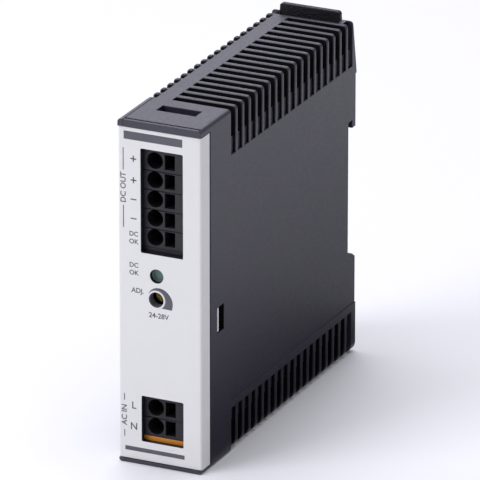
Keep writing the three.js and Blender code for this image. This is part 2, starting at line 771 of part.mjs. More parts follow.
function boxCapacitor(y, z, length, height, thickness) {
  const body = block([partsX, partsX + height], [y, y + length], [z, z + thickness]);
  const mid = z + thickness / 2;
  return joined([body, ...leads([[y + 1.5, mid], [y + length - 1.5, mid]], partsX + 1)]);
}

// A closed rectangular core round a window, thickness along X.
function frameCore(x, y, z, limb) {
  const hole = block([x[0] - 1, x[1] + 1], [y[0] + limb, y[1] - limb], [z[0] + limb, z[1] - limb]);
  return block(x, y, z).subtract(hole);
}

// A winding round a bar that runs along Z: bar's section, the coil's build and its span.
function coilRound(barX, barY, build, z, clearance) {
  const grown = (span, by) => [span[0] - by, span[1] + by];
  const inner = block(grown(barX, clearance), grown(barY, clearance), grown(z, 1));
  const shape = roundedRectangle(grown(barX, clearance + build), grown(barY, clearance + build), 1.2, 1.2);
  return prism(shape, "x", "y", z[0], z[1]).subtract(inner);
}

const CHOKE = { y: 54.5, z: 4.2, length: 15, height: 13.6, limb: 3, x0: 2.8, x1: 9.2, build: 1.9 };

function chokeCore() {
  const c = CHOKE;
  const y = [c.y, c.y + c.length];
  const z = [c.z, c.z + c.height];
  const x = [partsX + c.x0, partsX + c.x1];
  const foot = leads([[c.y + c.length / 2, c.z + 1.5], [c.y + c.length / 2, c.z + c.height - 1.5]], x[0] + 1);
  return joined([frameCore(x, y, z, c.limb), ...foot]);
}

function chokeWinding(side) {
  const c = CHOKE;
  const limbY = side === 0 ? [c.y, c.y + c.limb] : [c.y + c.length - c.limb, c.y + c.length];
  const z = [c.z + c.limb + GAP, c.z + c.height - c.limb - GAP];
  const x = [partsX + c.x0, partsX + c.x1];
  const coil = coilRound(x, limbY, c.build, z, GAP);
  const outY = side === 0 ? limbY[0] - GAP - c.build / 2 : limbY[1] + GAP + c.build / 2;
  const spots = [z[0] + 0.8, z[1] - 0.8].map((h) => [outY, h]);
  return joined([coil, ...leads(spots, x[0])]);
}

const TRANSFORMER = { y: 57, z: 40, size: 20, yoke: 3, leg: 5, x0: 4, x1: 10, wall: 0.8, build: 2.5 };

function transformerSpans() {
  const t = TRANSFORMER;
  const mid = t.y + t.size / 2;
  return {
    x: [partsX + t.x0, partsX + t.x1],
    y: [t.y, t.y + t.size],
    z: [t.z, t.z + t.size],
    legY: [mid - t.leg / 2, mid + t.leg / 2],
    windowZ: [t.z + t.yoke, t.z + t.size - t.yoke],
  };
}

// Two E cores closed on each other: a frame with a middle leg.
function transformerCore() {
  const s = transformerSpans();
  return frameCore(s.x, s.y, s.z, TRANSFORMER.yoke).add(block(s.x, s.legY, s.z));
}

function transformerBobbin() {
  const t = TRANSFORMER;
  const s = transformerSpans();
  const z = [s.windowZ[0] + GAP, s.windowZ[1] - GAP];
  const tube = coilRound(s.x, s.legY, t.wall, z, GAP);
  const flanges = [
    [z[0], z[0] + 0.8],
    [z[1] - 0.8, z[1]],
  ].map((span) => coilRound(s.x, s.legY, t.wall + t.build, span, GAP));
  const midY = (s.legY[0] + s.legY[1]) / 2;
  const spots = [z[0] + 0.4, z[1] - 0.4].flatMap((h) => [-3.2, 0, 3.2].map((off) => [midY + off, h]));
  return joined([tube, ...flanges, ...leads(spots, s.x[0] - GAP - t.wall)]);
}

function transformerWinding() {
  const t = TRANSFORMER;
  const s = transformerSpans();
  const clearance = GAP + t.wall + GAP;
  const z = [s.windowZ[0] + 2 * GAP + 0.8, s.windowZ[1] - 2 * GAP - 0.8];
  return coilRound(s.x, s.legY, t.build - GAP - 0.3, z, clearance);
}

const OUTPUT_CHOKE = { radius: 6, hub: 3, flange: 1.6, height: 10.5 };

function outputChokeCore(y, z) {
  const c = OUTPUT_CHOKE;
  const x = [partsX + GAP, partsX + GAP + c.height];
  const body = turned(
    "x",
    [
      [0, x[0]],
      [c.radius, x[0]],
      [c.radius, x[0] + c.flange],
      [c.hub, x[0] + c.flange],
      [c.hub, x[1] - c.flange],
      [c.radius, x[1] - c.flange],
      [c.radius, x[1]],
      [0, x[1]],
    ],
    [y, z],
  );
  return joined([body, ...leads([[y - 3, z], [y + 3, z]], x[0] + 0.5)]);
}

function outputChokeWinding(y, z) {
  const c = OUTPUT_CHOKE;
  const x = [partsX + 2 * GAP + c.flange, partsX + c.height - c.flange];
  const ring = [c.hub + GAP, c.radius - 0.5];
  return turned(
    "x",
    [
      [ring[0], x[0]],
      [ring[1], x[0]],
      [ring[1], x[1]],
      [ring[0], x[1]],
      [ring[0], x[0]],
    ],
    [y, z],
  );
}

// ---------------------------------------------------------------- indicator and trimmer

// Light pipe from the panel's hole to the lamp, with a collar behind the panel.
function lightPipe() {
  const r = LED_HOLE_RADIUS - 0.15;
  const collar = PANEL + GAP;
  return turned(
    "y",
    [
      [0, 0.75],
      [r - 0.15, 0.75],
      [r, 0.95],
      [r, collar],
      [r + 0.8, collar],
      [r + 0.8, collar + 1.2],
      [r, collar + 1.2],
      [r, BOARD_FRONT + 0.6],
      [0, BOARD_FRONT + 0.6],
    ],
    [LED_X, ledZ],
    20,
  );
}

function statusLed() {
  const y0 = BOARD_FRONT + 0.6 + GAP;
  const lamp = turned(
    "y",
    [
      [0, y0],
      [0.9, y0 + 0.3],
      [1.4, y0 + 1.2],
      [1.4, y0 + 4],
      [1.8, y0 + 4],
      [1.8, y0 + 5],
      [0, y0 + 5],
    ],
    [LED_X, ledZ],
  );
  const spots = [-1.27, 1.27].map((off) => [y0 + 4.6, ledZ + off]);
  return joined([lamp, ...leads(spots, LED_X, 0.5)]);
}

function trimmerBody() {
  const half = TRIMMER_BODY / 2;
  const front = ROTOR_FACE + 1;
  const body = block(
    [TRIMMER_X - half, TRIMMER_X + half],
    [front, BOARD_FRONT + 2.6],
    [trimmerZ - half, trimmerZ + half],
  );
  const pocket = rod("y", ROTOR_RADIUS + 0.25, [front - 1, front + 1], [TRIMMER_X, trimmerZ], 20);
  const bore = rod("y", 0.95, [front, front + 3.4], [TRIMMER_X, trimmerZ], 12);
  const spots = [-2.4, 0, 2.4].map((off) => [BOARD_FRONT + 1.6, trimmerZ + off]);
  return joined([cut(body, [pocket, bore]), ...leads(spots, TRIMMER_X - half + 0.3)]);
}

// The turning part: a disc with a cross slot for a screwdriver, on a short shaft.
function trimmerRotor() {
  const y = [ROTOR_FACE, ROTOR_FACE + 1.7];
  const head = rod("y", ROTOR_RADIUS, y, [TRIMMER_X, trimmerZ], 20);
  const shaft = rod("y", 0.8, [y[1] - 0.2, y[1] + 2.2], [TRIMMER_X, trimmerZ], 12);
  const wide = [-0.25, 0.25];
  const long = [-1.25, 1.25];
  const slotY = [y[0] - 1, y[0] + 0.7];
  const slot = (a, b) => block(a.map((v) => v + TRIMMER_X), slotY, b.map((v) => v + trimmerZ));
  return cut(head.add(shaft), [slot(wide, long), slot(long, wide)]);
}

// ---------------------------------------------------------------- board

// The board, holed for every lead and contact pin, and notched for the panel's left snap arm.
function circuitBoard() {
  const x = [BOARD_X, BOARD_X + BOARD];
  const through = [BOARD_X - 1, BOARD_X + BOARD + 1];
  const holes = boardHoles.map(([y0, y1, z0, z1]) => block(through, [y0, y1], [z0, z1]));
  const pinY = contactPinY().map((y, i) => y + [-LEAD_PLAY, LEAD_PLAY][i]);
  const pinHalf = 0.4 + LEAD_PLAY;
  const pinHoles = [...outputZ, ...inputZ].map((z) => block(through, pinY, [z - pinHalf, z + pinHalf]));
  const notchY = [BOARD_FRONT - 1, HOOK_WINDOW.y1 + 0.6];
  const notch = block(through, notchY, [hookWindowZ[0] - 0.6, hookWindowZ[1] + 0.6]);
  return cut(block(x, [BOARD_FRONT, boardY1], boardZ), [...holes, ...pinHoles, notch]);
}

// ---------------------------------------------------------------- assembly

const supply = new THREE.Group();

function add(name, made, material) {
  const got = made.getMesh();
  const geometry = new THREE.BufferGeometry();
  geometry.setAttribute("position", new THREE.BufferAttribute(new Float32Array(got.vertProperties), 3));
  geometry.setIndex(new THREE.BufferAttribute(new Uint32Array(got.triVerts), 1));
  geometry.computeVertexNormals();
  const mesh = new THREE.Mesh(geometry, material.clone());
  mesh.name = name;
  supply.add(mesh);
}

function addTerminalBlock(kind, wires, firstSpring, plateFinish) {
  wires.forEach((z, i) => {
    add(`${kind}_terminal_${i + 1}`, terminalBody(z, i === 0), FINISH.terminal);
    add(`terminal_contact_${firstSpring + i}`, terminalContact(z), FINISH.contact);
    add(`clamp_spring_${firstSpring + i}`, clampSpring(z), FINISH.clamp);
  });
  add(`${kind}_end_plate`, endPlate(wires), plateFinish);
}

function addCase() {
  add("housing_body", housingBody(), FINISH.housing);
  add("side_cover", sideCover(), FINISH.cover);
  add("front_panel", frontPanel(), FINISH.panel);
  add("latch_slider", latchSlider(), FINISH.latch);
  add("latch_spring", latchSpring(), FINISH.spring);
}

function addFrontElements() {
  add("light_pipe", lightPipe(), FINISH.lightPipe);
  add("status_led", statusLed(), FINISH.led);
  add("trimmer_body", trimmerBody(), FINISH.trimmer);
  add("trimmer_rotor", trimmerRotor(), FINISH.rotor);
}

// Mains side: protection, line filter, rectifier and reservoir, near the input terminals.
function addInputStage() {
  add("input_fuse", fuse(22.6, 8.6), FINISH.fuse);
  add("inrush_thermistor", disc(22.6, 16.4, 4.2, 4.4), FINISH.thermistor);
  add("varistor", disc(32, 6.6, 4.4, 4), FINISH.varistor);
  add("x_capacitor", boxCapacitor(38.5, 4.4, 12.5, 11, 6), FINISH.filmCapacitor);
  add("choke_core", chokeCore(), FINISH.ferrite);
  add("choke_winding_1", chokeWinding(0), FINISH.copper);
  add("choke_winding_2", chokeWinding(1), FINISH.copper);
  add("bridge_rectifier", dualRowPackage(32.5, 14.2, 8, 2), FINISH.semiconductor);
  add("bulk_capacitor_1", radialCan(24.5, 27.6, 6.2, 14), FINISH.capacitorSleeve);
  add("bulk_capacitor_2", radialCan(38, 27.6, 6.2, 14), FINISH.capacitorSleeve);
}

// The switching stage and the isolation barrier.
function addConverter() {
  add("switching_transistor", standingPackage(49.2, 28.5), FINISH.semiconductor);
  add("transistor_heat_sink", heatSink(50.1, 28.5, 17), FINISH.heatSink);
  add("control_chip", dualRowPackage(26, 41.4, 9.8, 4), FINISH.semiconductor);
  add("transformer_core", transformerCore(), FINISH.ferrite);
  add("transformer_bobbin", transformerBobbin(), FINISH.bobbin);
  add("transformer_winding", transformerWinding(), FINISH.tape);
  add("y_capacitor", disc(46, 14.6, 3.6, 3.4), FINISH.ceramicDisc);
  add("optocoupler", dualRowPackage(44.5, 46, 4.8, 2), FINISH.optocoupler);
}

// Low-voltage side, hung from the top of the board beside the output terminals.
function addOutputStage() {
  const top = boardZ[1];
  add("output_diode", standingPackage(46.2, top - 15), FINISH.semiconductor);
  add("diode_heat_sink", heatSink(47.1, top - 15, 20), FINISH.heatSink);
  add("output_capacitor_1", radialCan(24, top - 9.5, 5, 14), FINISH.capacitorSleeve);
  add("output_capacitor_2", radialCan(24, top - 22, 5, 14), FINISH.capacitorSleeve);
  add("output_choke_core", outputChokeCore(36.4, top - 15), FINISH.ferrite);
  add("output_choke_winding", outputChokeWinding(36.4, top - 15), FINISH.copper);
}

addCase();
addTerminalBlock("output", outputZ, 1, FINISH.terminalPlate);
addTerminalBlock("input", inputZ, OUTPUTS + 1, FINISH.orangePlate);
addFrontElements();
addInputStage();
addConverter();
addOutputStage();
add("circuit_board", circuitBoard(), FINISH.board);

supply.position.set(-WIDTH / 2, LIP / 2 - DEPTH / 2, 0);

const unit = new THREE.Group();
unit.add(supply);

export default unit;
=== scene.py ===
"""Looks of a slim grey rail-mounted power supply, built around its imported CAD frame.

Blender works in metres. Sizes and places written as numbers in the pieces' geometry below are
millimetres.
"""

import json
import math

import bmesh
import bpy
from mathutils import Matrix, Vector


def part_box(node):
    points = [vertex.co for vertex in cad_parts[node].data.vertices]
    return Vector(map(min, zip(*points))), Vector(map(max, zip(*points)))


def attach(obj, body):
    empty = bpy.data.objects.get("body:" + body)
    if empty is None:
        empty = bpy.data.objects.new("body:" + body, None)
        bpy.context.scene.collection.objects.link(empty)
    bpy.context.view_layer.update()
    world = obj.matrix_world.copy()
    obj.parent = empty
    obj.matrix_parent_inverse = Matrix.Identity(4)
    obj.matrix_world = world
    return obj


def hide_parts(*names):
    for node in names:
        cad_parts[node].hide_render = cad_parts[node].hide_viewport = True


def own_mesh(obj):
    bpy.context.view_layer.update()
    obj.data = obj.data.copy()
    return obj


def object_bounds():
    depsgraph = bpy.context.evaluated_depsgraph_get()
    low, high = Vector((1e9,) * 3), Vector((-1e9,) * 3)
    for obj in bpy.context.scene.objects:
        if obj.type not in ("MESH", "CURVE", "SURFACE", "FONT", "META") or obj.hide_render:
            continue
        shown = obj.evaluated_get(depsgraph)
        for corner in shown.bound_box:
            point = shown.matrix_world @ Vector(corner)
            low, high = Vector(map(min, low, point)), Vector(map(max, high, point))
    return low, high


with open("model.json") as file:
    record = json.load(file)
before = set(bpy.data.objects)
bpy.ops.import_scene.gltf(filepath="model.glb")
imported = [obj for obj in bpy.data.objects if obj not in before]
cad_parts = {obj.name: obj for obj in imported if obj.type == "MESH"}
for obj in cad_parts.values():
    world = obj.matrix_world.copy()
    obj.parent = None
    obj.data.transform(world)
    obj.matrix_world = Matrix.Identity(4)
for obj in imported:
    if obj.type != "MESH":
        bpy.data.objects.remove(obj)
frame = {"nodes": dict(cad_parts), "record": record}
CAD_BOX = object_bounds()
NODES = frame["nodes"]
MM = 0.001


# ---------------------------------------------------------------- places, from the CAD boxes

def span(node, axis):
    """A CAD node's lowest and highest place along an axis, in metres."""
    low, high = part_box(node)
    return low["XYZ".index(axis)], high["XYZ".index(axis)]


def centre(node):
    return sum(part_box(node), Vector()) / 2


TUBE_PROUD = 0.12  # the trimmer tube's rim stands this far in front of the white face
LEFT_X, RIGHT_X = CAD_BOX[0].x, CAD_BOX[1].x
HALF_WIDTH = (RIGHT_X - LEFT_X) / 2 / MM
ROOF = span("housing_body", "Z")[1] / MM
PANEL_Y = span("front_panel", "Y")[0] + TUBE_PROUD * MM
LAMP = centre("light_pipe")
TRIMMER = centre("trimmer_rotor")
TERMINALS = {name: centre(name) for name in NODES if "_terminal_" in name}


# ---------------------------------------------------------------- materials

NOISE_MIDDLE = (0.3, 0.7)  # where most of a noise's values lie


def new_material(name):
    material = bpy.data.materials.new(name)
    material.use_nodes = True
    tree = material.node_tree
    return material, tree, tree.nodes["Principled BSDF"]


def node(tree, kind, **values):
    """A shader node with values set on its sockets, or on itself where it has no such socket."""
    made = tree.nodes.new("ShaderNode" + kind)
    for key, value in values.items():
        if key in made.inputs:
            made.inputs[key].default_value = value
        else:
            setattr(made, key, value)
    return made


def noise(tree, coordinates, size_mm, detail=2.0, roughness=0.55):
    """Noise whose features are about size_mm across."""
    made = node(tree, "TexNoise", Scale=1 / (size_mm * MM), Detail=detail, Roughness=roughness)
    tree.links.new(coordinates, made.inputs["Vector"])
    return made.outputs["Fac"]


def spread(tree, value, low, high):
    """The middle of a noise spread over low to high."""
    made = node(tree, "MapRange")
    made.inputs["From Min"].default_value = NOISE_MIDDLE[0]
    made.inputs["From Max"].default_value = NOISE_MIDDLE[1]
    made.inputs["To Min"].default_value = low
    made.inputs["To Max"].default_value = high
    tree.links.new(value, made.inputs["Value"])
    return made.outputs["Result"]


def tinted(tree, factor, dark, light):
    """A colour that goes from dark to light with the factor."""
    made = node(tree, "Mix", data_type="RGBA")
    made.inputs["A"].default_value = (*dark, 1)
    made.inputs["B"].default_value = (*light, 1)
    tree.links.new(factor, made.inputs["Factor"])
    return made.outputs["Result"]


def surface(name, colour, roughness, grain, depth, mottle=0.05, metallic=0.0, specular=0.5,
            blotch=6.0, variation=0.05):
    """A moulded or machined surface: fine grain in the bump, mottling in colour and roughness.

    grain is the size of the bump's features and depth their height. blotch is the size of the
    colour's patches and mottle how far they go from the colour. All sizes are millimetres.
    """
    material, tree, shader = new_material(name)
    coordinates = node(tree, "TexCoord").outputs["Object"]
    slow = spread(tree, noise(tree, coordinates, blotch, 3), 0, 1)
    fine = noise(tree, coordinates, grain, 3, 0.6)
    dark = tuple(c * (1 - mottle) for c in colour)
    light = tuple(c * (1 + mottle) for c in colour)
    tree.links.new(tinted(tree, slow, dark, light), shader.inputs["Base Color"])
    uneven = noise(tree, coordinates, grain * 3, 2)
    rough = spread(tree, uneven, roughness - variation, roughness + variation)
    tree.links.new(rough, shader.inputs["Roughness"])
    bump = node(tree, "Bump", Strength=1.0, Distance=depth * MM)
    tree.links.new(fine, bump.inputs["Height"])
    tree.links.new(bump.outputs["Normal"], shader.inputs["Normal"])
    shader.inputs["Metallic"].default_value = metallic
    shader.inputs["Specular IOR Level"].default_value = specular
    return material


# slot: colour, roughness, grain, depth, and what differs from surface()'s own values
SLOT_LOOKS = {
    "housing_plastic": ((0.0162, 0.0138, 0.031), 0.46, 0.22, 0.010, {"specular": 0.90}),
    "cover_plastic": ((0.0157, 0.0134, 0.030), 0.46, 0.22, 0.010, {"specular": 0.90}),
    "panel_plastic": ((0.815, 0.81, 0.794), 0.42, 0.4, 0.003, {"mottle": 0.008}),
    "latch_plastic": ((0.006, 0.006, 0.007), 0.42, 0.42, 0.3,
                      {"mottle": 0.4, "specular": 0.32, "blotch": 0.8}),
    "terminal_plastic": ((0.012, 0.012, 0.016), 0.45, 0.3, 0.004, {}),
    "end_plate_plastic": ((0.011, 0.011, 0.015), 0.45, 0.3, 0.004, {}),
    "orange_plastic": ((0.72, 0.27, 0.03), 0.45, 0.4, 0.004, {"mottle": 0.03}),
    "light_pipe_plastic": ((0.12, 0.205, 0.18), 0.3, 0.5, 0.004, {"mottle": 0.08}),
    "led_resin": ((0.22, 0.42, 0.15), 0.2, 0.5, 0.002, {}),
    "spring_steel": ((0.5, 0.51, 0.52), 0.3, 0.2, 0.002, {"metallic": 1.0}),
    "tinned_copper": ((0.55, 0.45, 0.25), 0.32, 0.3, 0.002, {"mottle": 0.08, "metallic": 1.0}),
    "rotor_brass": ((0.66, 0.52, 0.15), 0.36, 0.25, 0.004, {"mottle": 0.1, "metallic": 1.0}),
    "trimmer_plastic": ((0.012, 0.02, 0.06), 0.4, 0.3, 0.004, {}),
    "board_laminate": ((0.025, 0.1, 0.045), 0.32, 0.35, 0.004, {"mottle": 0.12}),
    "fuse_plastic": ((0.04, 0.022, 0.015), 0.4, 0.3, 0.003, {}),
    "varistor_epoxy": ((0.02, 0.11, 0.36), 0.28, 0.8, 0.02, {}),
    "thermistor_epoxy": ((0.024, 0.042, 0.028), 0.35, 0.8, 0.02, {}),
    "film_capacitor_plastic": ((0.68, 0.46, 0.05), 0.35, 0.3, 0.003, {}),
    "ferrite": ((0.04, 0.04, 0.042), 0.6, 0.15, 0.008, {"mottle": 0.1}),
    "enamelled_copper": ((0.38, 0.11, 0.03), 0.3, 0.3, 0.004, {"mottle": 0.08, "metallic": 0.8}),
    "transformer_tape": ((0.62, 0.43, 0.04), 0.35, 0.6, 0.004, {"mottle": 0.06}),
    "bobbin_plastic": ((0.012, 0.012, 0.013), 0.45, 0.3, 0.004, {}),
    "package_epoxy": ((0.011, 0.011, 0.012), 0.5, 0.12, 0.004, {}),
    "heat_sink_aluminium": ((0.4, 0.41, 0.42), 0.38, 0.2, 0.003,
                            {"mottle": 0.06, "metallic": 1.0}),
    "capacitor_sleeve": ((0.017, 0.019, 0.027), 0.3, 0.6, 0.003, {}),
    "ceramic_epoxy": ((0.05, 0.19, 0.48), 0.3, 0.8, 0.02, {}),
    "optocoupler_plastic": ((0.76, 0.74, 0.67), 0.5, 0.2, 0.004, {"mottle": 0.03}),
}
LOOKS = {name: surface(name, *row[:-1], **row[-1]) for name, row in SLOT_LOOKS.items()}
PRINT_INK = surface("print_ink", (0.105, 0.105, 0.125), 0.5, 0.25, 0.002, mottle=0.10)
# painted shade: the walls inside the slots and the side window are the case's own plastic, painted
# near black
VENT_SHADE = surface("vent_painted_shade", (0.0035, 0.0035, 0.0048), 0.65, 0.22, 0.010, specular=0.12)
# painted shade: the trimmer tube's bore is white plastic, painted mid-grey for the shade inside it
TUBE_SHADE = surface("tube_painted_shade", (0.20, 0.195, 0.215), 0.5, 0.3, 0.004)
SLOT_OF = {row["node"]: row["material_slot"] for row in frame["record"]["subparts"]}


def dress(obj, material):
    obj.data.materials.clear()
    obj.data.materials.append(material)


# ---------------------------------------------------------------- mesh tools

WELD = 0.002  # vertices closer than this are one
ON_FACE = 0.02  # a vertex this near to a plane lies on it


def tidy_copy(source, flat_faces=True):
    """A bmesh of a CAD node, welded, its triangles merged into flat faces unless told not to."""
    bm = bmesh.new()
    bm.from_mesh(NODES[source].data)
    bmesh.ops.remove_doubles(bm, verts=bm.verts, dist=WELD * MM)
    if flat_faces:
        bmesh.ops.dissolve_limit(bm, angle_limit=math.radians(0.5), verts=bm.verts, edges=bm.edges)
    return bm


def nudge(bm, axis, at_mm, by_mm, where=lambda p: True):
    """Moves the vertices of one flat face, so the face shifts but stays flat."""
    i = "XYZ".index(axis)
    for vert in bm.verts:
        p = vert.co / MM
        if abs(p[i] - at_mm) < ON_FACE and where(p):
            vert.co[i] += by_mm * MM


def round_edges(bm, width_mm, chosen, segments=2, least=40, most=140, hollow=False):
    """Rounds the convex (or hollow) edges that chosen(middle, direction, edge) picks.

    Only edges whose faces turn by least to most degrees are asked about.
    """
    picked = []
    for edge in bm.edges:
        if not edge.is_manifold or edge.is_convex == hollow:
            continue
        if not math.radians(least) < edge.calc_face_angle() < math.radians(most):
            continue
        a, b = (v.co / MM for v in edge.verts)
        if chosen((a + b) / 2, (b - a).normalized(), edge):
            picked.append(edge)
    bmesh.ops.bevel(bm, geom=picked, offset=width_mm * MM, offset_type="OFFSET", segments=segments,
                    profile=0.5, affect="EDGES", clamp_overlap=False, harden_normals=False)


def as_mesh(name, bm):
    """Turns a bmesh into mesh data and frees it."""
    mesh = bpy.data.meshes.new(name)
    bm.to_mesh(mesh)
    bm.free()
    return mesh


def placed(name, data):
    """An object that holds the data, linked to the scene."""
    obj = bpy.data.objects.new(name, data)
    bpy.context.scene.collection.objects.link(obj)
    return obj


def finished(name, bm, slot_name, body, replaces=(), smooth=35):
    """Links a bmesh as a piece with its looks, riding on a body."""
    mesh = as_mesh(name, bm)
    obj = placed(name, mesh)
    for face in mesh.polygons:
        face.use_smooth = True
    mesh.set_sharp_from_angle(angle=math.radians(smooth))
    dress(obj, LOOKS[slot_name])
    weighted = obj.modifiers.new("weighted", "WEIGHTED_NORMAL")
    weighted.keep_sharp = True
    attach(obj, body)
    if replaces:
        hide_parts(*replaces)
    return obj


# ---------------------------------------------------------------- case

ROOF_CORNER, FOOT_CORNER = 1.5, 2.5  # the CAD's radii along the vents
TIGHT_CORNER = 0.95  # the roof's radius in the photo
SKIN = 0.3  # an edge nearer to the outer skin than this is one of the skin's own
SKIN_FACE = 0.29  # and so is a face
VENTS_FROM_Y, VENTS_TO_Y = -29, CAD_BOX[1].y / MM - 4
VENT_BAND = 75.5  # upper vents lie above this height, lower ones further than this below the roof
CAD_BLIND_DEPTHS = ((1, 1.0), (-1, 0.8))  # side, and depth of the closed half of its slots
BLIND_DEPTH = 0.72  # the upper slots' closed halves in the photo
DEEPEST_BLIND = 1.1
ROOF_GROOVE = {"front_y": -44.40, "wider": 0.5, "below_roof": 0.8}  # wider, as in the photo
SIDE_WINDOW = {"below_trimmer": 6.7, "half_height": 3.6, "front_y": -36.7, "rear_y": -32.3}
RIB_ROUND, CASE_ROUND = 0.27, 0.12


def skin_depth(p):
    """How deep a point lies under the case's outer skin in X and Z."""
    x, z = abs(p.x), p.z
    radius = ROOF_CORNER if z > ROOF / 2 else FOOT_CORNER
    dx, dz = HALF_WIDTH - x, min(ROOF - z, z)
    if dx < radius and dz < radius:
        return radius - math.hypot(radius - dx, radius - dz)
    return min(dx, dz)


def tighten_roof_corners(bm):
    """Draws the roof's long corners out from the CAD's radius to the tighter one in the photo.

    Each corner vertex moves straight away from the old radius's centre, to the new outline.
    """
    inset = ROOF_CORNER - TIGHT_CORNER
    for vert in bm.verts:
        p = vert.co / MM
        dx, dz = abs(p.x) - (HALF_WIDTH - ROOF_CORNER), p.z - (ROOF - ROOF_CORNER)
        reach = math.hypot(dx, dz)
        if min(dx, dz) < ON_FACE or not ROOF_CORNER - 0.05 < reach < ROOF_CORNER + 0.05:
            continue
        u, v = dx / reach, dz / reach
        along = (u + v) * inset
        to_arc = along + math.sqrt(along ** 2 - 2 * inset ** 2 + TIGHT_CORNER ** 2)
        new = min(to_arc, ROOF_CORNER / max(u, v))
        vert.co.x = math.copysign(HALF_WIDTH - ROOF_CORNER + u * new, p.x) * MM
        vert.co.z = (ROOF - ROOF_CORNER + v * new) * MM


def is_slot_wall(polygon):
    """Whether a face of the case is inside a vent slot or the side window, and gets the near-black
    painted shade.
    """
    middle = polygon.center / MM
    if skin_depth(middle) <= SKIN_FACE:
        return False
    in_bands = middle.z > VENT_BAND or middle.z < ROOF - VENT_BAND
    if in_bands and VENTS_FROM_Y < middle.y < VENTS_TO_Y:
        blind_floor = abs(polygon.normal.x) > 0.9 and skin_depth(middle) < DEEPEST_BLIND
        if not blind_floor:
            return True
    window_z = TRIMMER.z / MM - SIDE_WINDOW["below_trimmer"]
    return (abs(middle.z - window_z) < SIDE_WINDOW["half_height"]
            and SIDE_WINDOW["front_y"] < middle.y < SIDE_WINDOW["rear_y"])


def case_piece(name, source):
    """One of the case's two mouldings, with rounded ribs and slot walls painted near black as
    painted shade.
    """
    bm = tidy_copy(source)
    tighten_roof_corners(bm)
    for side, depth in CAD_BLIND_DEPTHS:
        nudge(bm, "X", side * (HALF_WIDTH - depth), side * (depth - BLIND_DEPTH),
              lambda p: p.y > VENTS_FROM_Y and p.z > VENT_BAND)
    nudge(bm, "Y", ROOF_GROOVE["front_y"], -ROOF_GROOVE["wider"],
          lambda p: p.z > ROOF - ROOF_GROOVE["below_roof"])

    def rib_edge(p, d, edge):
        across = any(abs(f.normal.y) > 0.9 for f in edge.link_faces) and abs(d.y) < 0.1
        return skin_depth(p) < SKIN and across and VENTS_FROM_Y < p.y < VENTS_TO_Y

    def outer_edge(p, d, edge):
        return skin_depth(p) < SKIN

    round_edges(bm, RIB_ROUND, rib_edge, 3)
    round_edges(bm, CASE_ROUND, outer_edge, 2)
    made = finished(name, bm, SLOT_OF[source], "case", (source,))
    # painted shade: faces inside the slots and the side window get the near-black copy of the
    # plastic
    made.data.materials.append(VENT_SHADE)
    for polygon in made.data.polygons:
        if is_slot_wall(polygon):
            polygon.material_index = 1


case_piece("housing_shell", "housing_body")
case_piece("cover_shell", "side_cover")


# ---------------------------------------------------------------- white front

WING_DEPTH = 5.03  # the panel's side wings end this far behind its face
GAP_BEHIND_PANEL = 0.4  # the photo's dark line behind the wings is wider than the CAD's by this
WINDOW_HALF_WIDTH = 7
WINDOW_DEPTH = 1.2
LAMP_CLEAR = 4  # the terminal windows are further than this above and below the lamp
WING_WALL = 1.3  # the side wings reach no further in than this
TUBE_RADIUS = 2.2


def front_shell():
    """The white front, its reveals dark as in the photo and its trimmer tube's white bore painted
    mid-grey as painted shade.
    """
    bm = tidy_copy("front_panel")
    face = PANEL_Y / MM
    side = RIGHT_X / MM
    nudge(bm, "Y", face + WING_DEPTH, -GAP_BEHIND_PANEL)

    def window_corner(p, d, edge):
        in_window = abs(p.x) < WINDOW_HALF_WIDTH and abs(p.z - LAMP.z / MM) > LAMP_CLEAR
        return abs(d.y) > 0.99 and p.y < face + WINDOW_DEPTH and in_window

    def corner(p, d, edge):
        return abs(d.z) > 0.99 and p.y < face + 0.1 and abs(p.x) > side - 0.1

    def rim(p, d, edge):
        return p.y < face + 0.1

    round_edges(bm, 0.35, window_corner, 3, hollow=True)
    round_edges(bm, 0.5, corner, 4)
    round_edges(bm, 0.07, rim, 2)
    made = finished("front_shell", bm, "panel_plastic", "case", ("front_panel",))
    made.data.materials.append(LOOKS["end_plate_plastic"])
    # painted shade on the faces inside the trimmer tube's bore
    made.data.materials.append(TUBE_SHADE)
    for polygon in made.data.polygons:
        middle = polygon.center / MM
        if middle.y > face + 0.09 and abs(middle.x) < side - WING_WALL:
            beside = math.hypot(middle.x - TRIMMER.x / MM, middle.z - TRIMMER.z / MM)
            polygon.material_index = 2 if beside < TUBE_RADIUS else 1


front_shell()


# ---------------------------------------------------------------- terminals

def terminal(source):
    """A terminal module or end plate, the rims of its openings broken."""
    bm = tidy_copy(source, flat_faces=False)
    face = span(source, "Y")[0] / MM
    round_edges(bm, 0.08, lambda p, d, edge: p.y < face + 0.05, 2)
    finished(source + "_moulding", bm, SLOT_OF[source], "case", (source,))


for source in sorted(NODES):
    if "_terminal_" in source or source.endswith("_end_plate"):
        terminal(source)


# ---------------------------------------------------------------- lamp, trimmer, slider, spring

def crowned(name, source, body, width, segments, deeper=0.0):
    """A node whose foremost edges are rounded, its front face set a little deeper."""
    bm = tidy_copy(source)
    nudge(bm, "Y", span(source, "Y")[0] / MM, deeper)
    face = span(source, "Y")[0] / MM + deeper
    round_edges(bm, width, lambda p, d, edge: p.y < face + 0.05, segments)
    finished(name, bm, SLOT_OF[source], body, (source,), 50)


crowned("lamp_window", "light_pipe", "case", 0.25, 3, 0.85)  # it lies deeper in the photo
crowned("rotor_disc", "trimmer_rotor", "trimmer", 0.1, 2)


